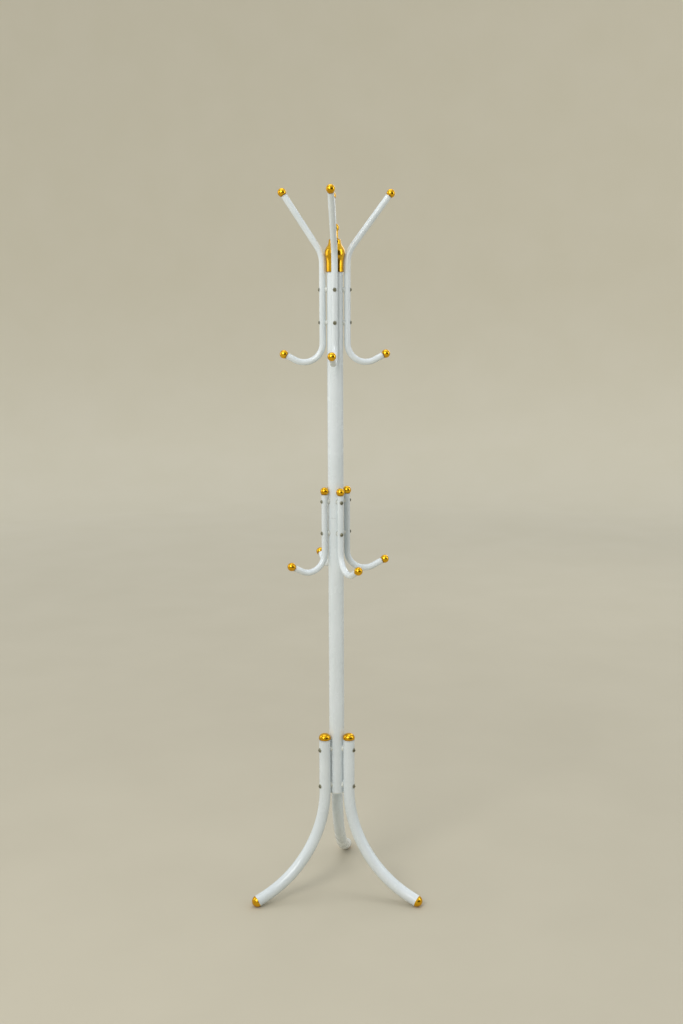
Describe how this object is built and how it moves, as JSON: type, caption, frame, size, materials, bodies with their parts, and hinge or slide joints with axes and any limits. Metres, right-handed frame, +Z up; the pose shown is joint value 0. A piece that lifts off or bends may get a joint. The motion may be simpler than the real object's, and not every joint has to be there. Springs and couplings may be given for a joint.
{
  "type": "free-standing coat rack",
  "caption": "Free-standing tubular coat rack: round pole on bent legs, bent arms and J hooks with ball caps, turned finial on top.",
  "frame": {"origin": "on the floor, directly under the pole's axis", "axes": "+Z up along the pole; -Y towards the viewer, the side with a top arm nearly face on and no leg; +X to the viewer's right; the single leg points to +Y"},
  "size_m": [0.4259, 0.3811, 1.7482],
  "materials": {
    "white_paint": "smooth gloss white stoving enamel over steel tube",
    "gold": "polished gold-coloured plating on the finial and caps; what is under the plating can't be seen",
    "dark_fastener": "dark bronze-grey button-head screws with a low sheen",
    "white_plastic": "white moulded plastic spacers and end plug",
    "bare_steel": "plain zinc-plated steel, hidden inside the pole"
  },
  "bodies": {
    "root": {"lower_pole": "white_paint", "upper_pole": "white_paint", "top_arm_left": "white_paint", "top_arm_front": "white_paint", "top_arm_right": "white_paint", "top_arm_rear": "white_paint", "mid_hook_left": "white_paint", "mid_hook_front": "white_paint", "mid_hook_right": "white_paint", "mid_hook_rear": "white_paint", "leg_left": "white_paint", "leg_right": "white_paint", "leg_rear": "white_paint", "finial": "gold", "cap_top_arm_left_upper": "gold", "cap_top_arm_left_hook": "gold", "cap_top_arm_front_upper": "gold", "cap_top_arm_front_hook": "gold", "cap_top_arm_right_upper": "gold", "cap_top_arm_right_hook": "gold", "cap_top_arm_rear_upper": "gold", "cap_top_arm_rear_hook": "gold", "cap_mid_hook_left_top": "gold", "cap_mid_hook_left_tip": "gold", "cap_mid_hook_front_top": "gold", "cap_mid_hook_front_tip": "gold", "cap_mid_hook_right_top": "gold", "cap_mid_hook_right_tip": "gold", "cap_mid_hook_rear_top": "gold", "cap_mid_hook_rear_tip": "gold", "cap_leg_left": "gold", "cap_leg_right": "gold", "cap_leg_rear": "gold", "foot_left": "gold", "foot_right": "gold", "foot_rear": "gold", "pole_connector": "bare_steel", "pole_end_plug": "white_plastic", "top_arm_bolts": "dark_fastener", "top_arm_spacers": "white_plastic", "top_arm_nuts": "bare_steel", "mid_hook_bolts": "dark_fastener", "mid_hook_spacers": "white_plastic", "mid_hook_nuts": "bare_steel", "leg_bolts": "dark_fastener", "leg_spacers": "white_plastic", "leg_nuts": "bare_steel"}
  },
  "joints": []
}
